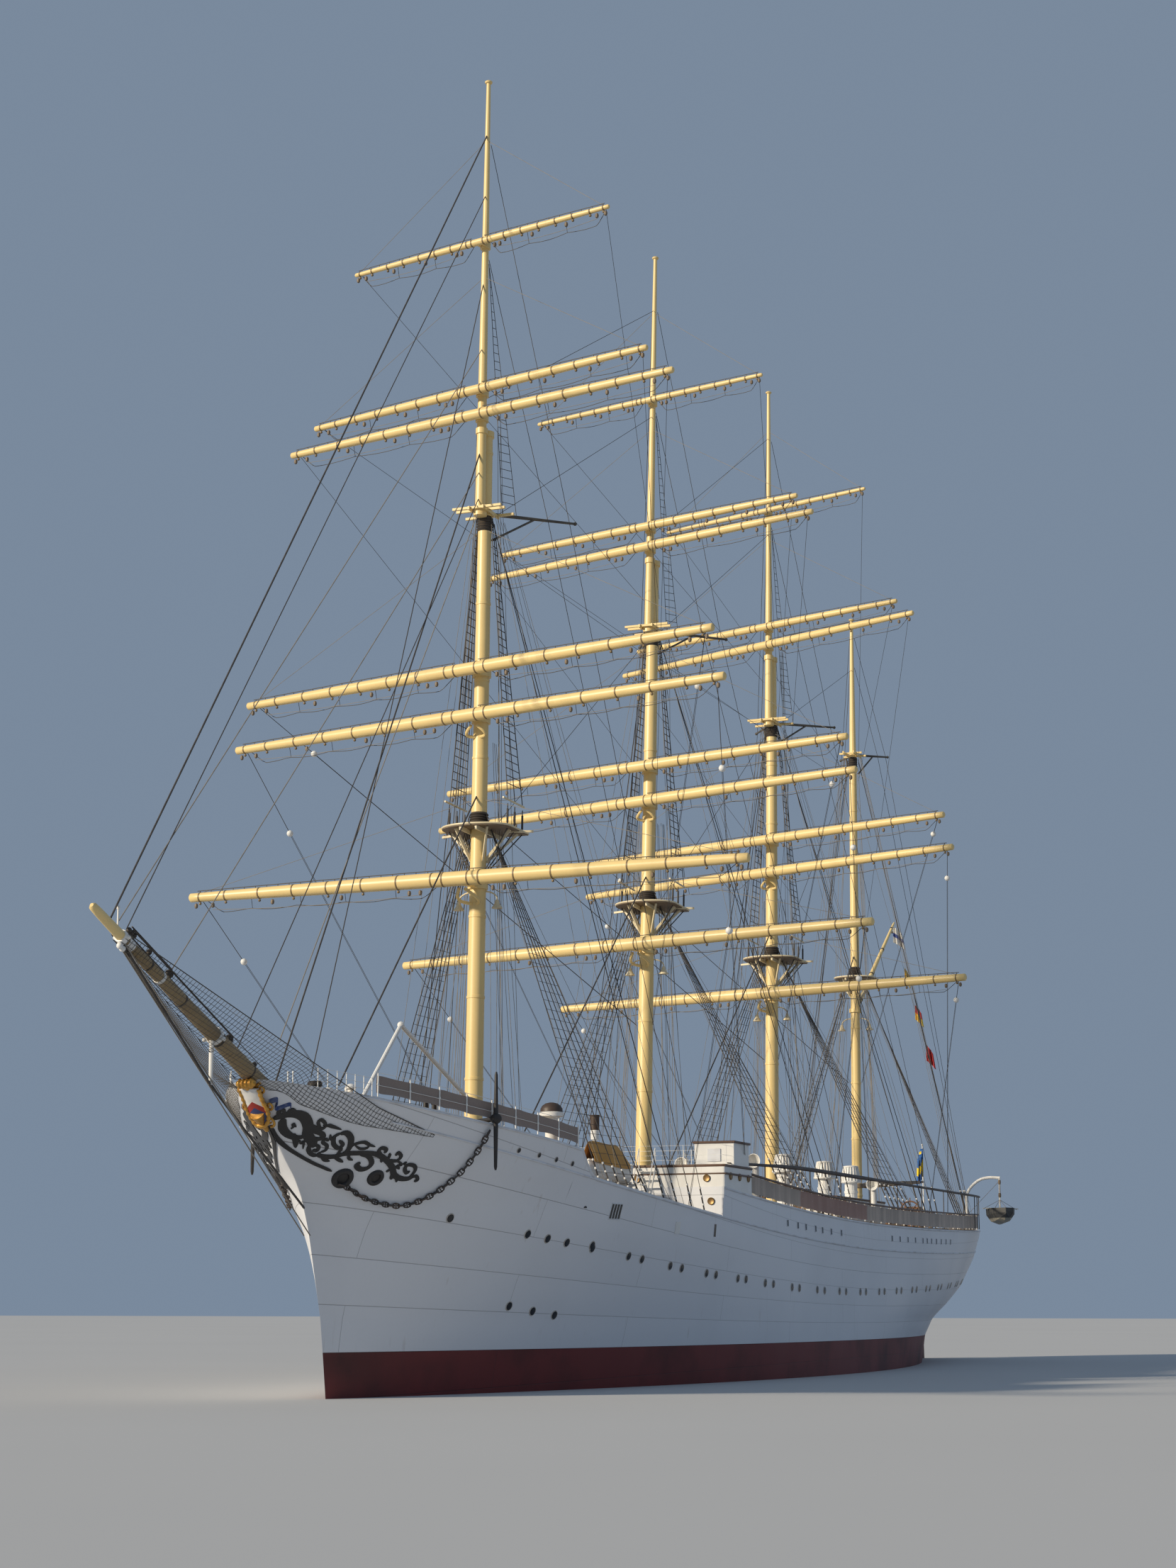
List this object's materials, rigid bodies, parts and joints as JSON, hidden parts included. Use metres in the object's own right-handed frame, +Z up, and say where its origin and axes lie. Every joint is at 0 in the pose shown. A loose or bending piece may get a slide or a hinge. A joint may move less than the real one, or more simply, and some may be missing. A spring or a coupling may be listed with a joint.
{
  "type": "tall ship, scale model at 1:10",
  "caption": "Steel barque with bare yards that brace round on raked masts, a spanker boom and gaff, raised forecastle and long poop, rudder and wheel, afloat at its waterline; a 1:10 model.",
  "frame": {"origin": "amidships on the centreline at the waterline", "axes": "+X forward to the bowsprit, +Y to port, +Z up"},
  "size_m": [10.2978, 2.5489, 5.9955],
  "materials": {
    "hull_white": "satin white paint over riveted steel plates",
    "bottom_red": "matt dark red antifouling paint",
    "house_white": "satin white paint",
    "fitting_white": "gloss white paint",
    "spar_buff": "satin buff paint",
    "deck_teak": "bare weathered planking",
    "varnished_wood": "varnished",
    "rail_canvas": "brown canvas laced to a white rail",
    "iron_black": "black paint over iron",
    "crest_gilt": "gilt",
    "stay_wire": "tarred wire",
    "boat_dark": "dark rubber"
  },
  "bodies": {
    "root": {"hull_bottom": "bottom_red", "hull_side": "hull_white", "forecastle": "hull_white", "long_poop": "hull_white", "well_bulwark_port": "hull_white", "well_bulwark_starboard": "hull_white", "forecastle_deck": "deck_teak", "well_deck": "deck_teak", "poop_deck": "deck_teak", "forecastle_rail_port": "rail_canvas", "forecastle_rail_starboard": "rail_canvas", "poop_rail_port": "rail_canvas", "poop_rail_starboard": "rail_canvas", "bridge_house": "house_white", "poop_house": "house_white", "mizzen_ventilator": "house_white", "fore_house": "house_white", "fore_mast": "spar_buff", "main_mast": "spar_buff", "mizzen_mast": "spar_buff", "jigger_mast": "spar_buff", "bowsprit": "spar_buff", "dolphin_striker": "fitting_white", "bow_crest": "crest_gilt", "fore_stay": "stay_wire", "fore_topmast_stay": "stay_wire", "fore_royal_stay": "stay_wire", "main_stay": "stay_wire", "mizzen_stay": "stay_wire", "jigger_stay": "stay_wire", "bobstay": "stay_wire", "anchor_port": "iron_black", "anchor_starboard": "iron_black", "forecastle_bitts": "fitting_white", "forecastle_derrick": "fitting_white", "wheel_box": "varnished_wood", "quarter_davit": "fitting_white", "dinghy": "boat_dark"},
    "fore_course_yard_body": {"fore_course_yard": "spar_buff"},
    "fore_lower_topsail_yard_body": {"fore_lower_topsail_yard": "spar_buff"},
    "fore_upper_topsail_yard_body": {"fore_upper_topsail_yard": "spar_buff"},
    "fore_lower_topgallant_yard_body": {"fore_lower_topgallant_yard": "spar_buff"},
    "fore_upper_topgallant_yard_body": {"fore_upper_topgallant_yard": "spar_buff"},
    "fore_royal_yard_body": {"fore_royal_yard": "spar_buff"},
    "main_course_yard_body": {"main_course_yard": "spar_buff"},
    "main_lower_topsail_yard_body": {"main_lower_topsail_yard": "spar_buff"},
    "main_upper_topsail_yard_body": {"main_upper_topsail_yard": "spar_buff"},
    "main_lower_topgallant_yard_body": {"main_lower_topgallant_yard": "spar_buff"},
    "main_upper_topgallant_yard_body": {"main_upper_topgallant_yard": "spar_buff"},
    "main_royal_yard_body": {"main_royal_yard": "spar_buff"},
    "mizzen_course_yard_body": {"mizzen_course_yard": "spar_buff"},
    "mizzen_lower_topsail_yard_body": {"mizzen_lower_topsail_yard": "spar_buff"},
    "mizzen_upper_topsail_yard_body": {"mizzen_upper_topsail_yard": "spar_buff"},
    "mizzen_lower_topgallant_yard_body": {"mizzen_lower_topgallant_yard": "spar_buff"},
    "mizzen_upper_topgallant_yard_body": {"mizzen_upper_topgallant_yard": "spar_buff"},
    "mizzen_royal_yard_body": {"mizzen_royal_yard": "spar_buff"},
    "spanker_boom_body": {"spanker_boom": "varnished_wood"},
    "spanker_gaff_body": {"spanker_gaff": "varnished_wood"},
    "rudder_body": {"rudder": "bottom_red"},
    "wheel_body": {"steering_wheel": "varnished_wood"}
  },
  "joints": [
    {"name": "fore_course_brace", "type": "hinge", "parent": "root", "child": "fore_course_yard_body", "pos_m": [2.77998, 0, 1.99637], "axis": [-0.0251, 0, 0.9997], "range_deg": [-21, 32]},
    {"name": "fore_lower_topsail_brace", "type": "hinge", "parent": "root", "child": "fore_lower_topsail_yard_body", "pos_m": [2.76252, 0, 2.69115], "axis": [-0.0251, 0, 0.9997], "range_deg": [-21, 32]},
    {"name": "fore_upper_topsail_brace", "type": "hinge", "parent": "root", "child": "fore_upper_topsail_yard_body", "pos_m": [2.75757, 0, 2.88809], "axis": [-0.0251, 0, 0.9997], "range_deg": [-21, 32]},
    {"name": "fore_lower_topgallant_brace", "type": "hinge", "parent": "root", "child": "fore_lower_topgallant_yard_body", "pos_m": [2.77988, 0, 3.99], "axis": [-0.0251, 0, 0.9997], "range_deg": [-21, 32]},
    {"name": "fore_upper_topgallant_brace", "type": "hinge", "parent": "root", "child": "fore_upper_topgallant_yard_body", "pos_m": [2.77709, 0, 4.10096], "axis": [-0.0251, 0, 0.9997], "range_deg": [-21, 32]},
    {"name": "fore_royal_brace", "type": "hinge", "parent": "root", "child": "fore_royal_yard_body", "pos_m": [2.76025, 0, 4.77075], "axis": [-0.0251, 0, 0.9997], "range_deg": [-21, 32]},
    {"name": "main_course_brace", "type": "hinge", "parent": "root", "child": "main_course_yard_body", "pos_m": [0.81416, 0, 1.97067], "axis": [-0.0581, 0, 0.9983], "range_deg": [-20, 40]},
    {"name": "main_lower_topsail_brace", "type": "hinge", "parent": "root", "child": "main_lower_topsail_yard_body", "pos_m": [0.77297, 0, 2.67847], "axis": [-0.0581, 0, 0.9983], "range_deg": [-20, 40]},
    {"name": "main_upper_topsail_brace", "type": "hinge", "parent": "root", "child": "main_upper_topsail_yard_body", "pos_m": [0.76287, 0, 2.85218], "axis": [-0.0581, 0, 0.9983], "range_deg": [-20, 40]},
    {"name": "main_lower_topgallant_brace", "type": "hinge", "parent": "root", "child": "main_lower_topgallant_yard_body", "pos_m": [0.74842, 0, 3.96121], "axis": [-0.0581, 0, 0.9983], "range_deg": [-20, 40]},
    {"name": "main_upper_topgallant_brace", "type": "hinge", "parent": "root", "child": "main_upper_topgallant_yard_body", "pos_m": [0.74232, 0, 4.06603], "axis": [-0.0581, 0, 0.9983], "range_deg": [-20, 40]},
    {"name": "main_royal_brace", "type": "hinge", "parent": "root", "child": "main_royal_yard_body", "pos_m": [0.70364, 0, 4.73091], "axis": [-0.0581, 0, 0.9983], "range_deg": [-20, 40]},
    {"name": "mizzen_course_brace", "type": "hinge", "parent": "root", "child": "mizzen_course_yard_body", "pos_m": [-1.11466, 0, 1.95068], "axis": [-0.0368, 0, 0.9993], "range_deg": [-15, 40]},
    {"name": "mizzen_lower_topsail_brace", "type": "hinge", "parent": "root", "child": "mizzen_lower_topsail_yard_body", "pos_m": [-1.13944, 0, 2.62322], "axis": [-0.0368, 0, 0.9993], "range_deg": [-15, 40]},
    {"name": "mizzen_upper_topsail_brace", "type": "hinge", "parent": "root", "child": "mizzen_upper_topsail_yard_body", "pos_m": [-1.14614, 0, 2.8051], "axis": [-0.0368, 0, 0.9993], "range_deg": [-15, 40]},
    {"name": "mizzen_lower_topgallant_brace", "type": "hinge", "parent": "root", "child": "mizzen_lower_topgallant_yard_body", "pos_m": [-1.1366, 0, 3.90419], "axis": [-0.0368, 0, 0.9993], "range_deg": [-15, 40]},
    {"name": "mizzen_upper_topgallant_brace", "type": "hinge", "parent": "root", "child": "mizzen_upper_topgallant_yard_body", "pos_m": [-1.14054, 0, 4.01112], "axis": [-0.0368, 0, 0.9993], "range_deg": [-15, 40]},
    {"name": "mizzen_royal_brace", "type": "hinge", "parent": "root", "child": "mizzen_royal_yard_body", "pos_m": [-1.16554, 0, 4.68966], "axis": [-0.0368, 0, 0.9993], "range_deg": [-15, 40]},
    {"name": "spanker_boom_swing", "type": "hinge", "parent": "root", "child": "spanker_boom_body", "pos_m": [-2.70746, 0, 1.01455], "axis": [-0.0298, 0, 0.9996], "range_deg": [-40, 40]},
    {"name": "spanker_gaff_swing", "type": "hinge", "parent": "root", "child": "spanker_gaff_body", "pos_m": [-2.73835, 0, 2.04909], "axis": [-0.0298, 0, 0.9996], "range_deg": [-40, 40]},
    {"name": "rudder_swing", "type": "hinge", "parent": "root", "child": "rudder_body", "pos_m": [-4.005, 0, 0], "axis": [0, 0, 1], "range_deg": [-35, 35]},
    {"name": "wheel_turn", "type": "hinge", "parent": "root", "child": "wheel_body", "pos_m": [-3.9, 0, 0.90506], "axis": [1, 0, 0], "range_deg": [-350, 350]}
  ],
  "couplings": [
    {"joint": "fore_lower_topsail_brace", "follows": "fore_course_brace", "ratio": 1},
    {"joint": "fore_upper_topsail_brace", "follows": "fore_course_brace", "ratio": 1},
    {"joint": "fore_lower_topgallant_brace", "follows": "fore_course_brace", "ratio": 1},
    {"joint": "fore_upper_topgallant_brace", "follows": "fore_course_brace", "ratio": 1},
    {"joint": "fore_royal_brace", "follows": "fore_course_brace", "ratio": 1},
    {"joint": "main_lower_topsail_brace", "follows": "main_course_brace", "ratio": 1},
    {"joint": "main_upper_topsail_brace", "follows": "main_course_brace", "ratio": 1},
    {"joint": "main_lower_topgallant_brace", "follows": "main_course_brace", "ratio": 1},
    {"joint": "main_upper_topgallant_brace", "follows": "main_course_brace", "ratio": 1},
    {"joint": "main_royal_brace", "follows": "main_course_brace", "ratio": 1},
    {"joint": "mizzen_lower_topsail_brace", "follows": "mizzen_course_brace", "ratio": 1},
    {"joint": "mizzen_upper_topsail_brace", "follows": "mizzen_course_brace", "ratio": 1},
    {"joint": "mizzen_lower_topgallant_brace", "follows": "mizzen_course_brace", "ratio": 1},
    {"joint": "mizzen_upper_topgallant_brace", "follows": "mizzen_course_brace", "ratio": 1},
    {"joint": "mizzen_royal_brace", "follows": "mizzen_course_brace", "ratio": 1},
    {"joint": "wheel_turn", "follows": "rudder_swing", "ratio": 10}
  ]
}
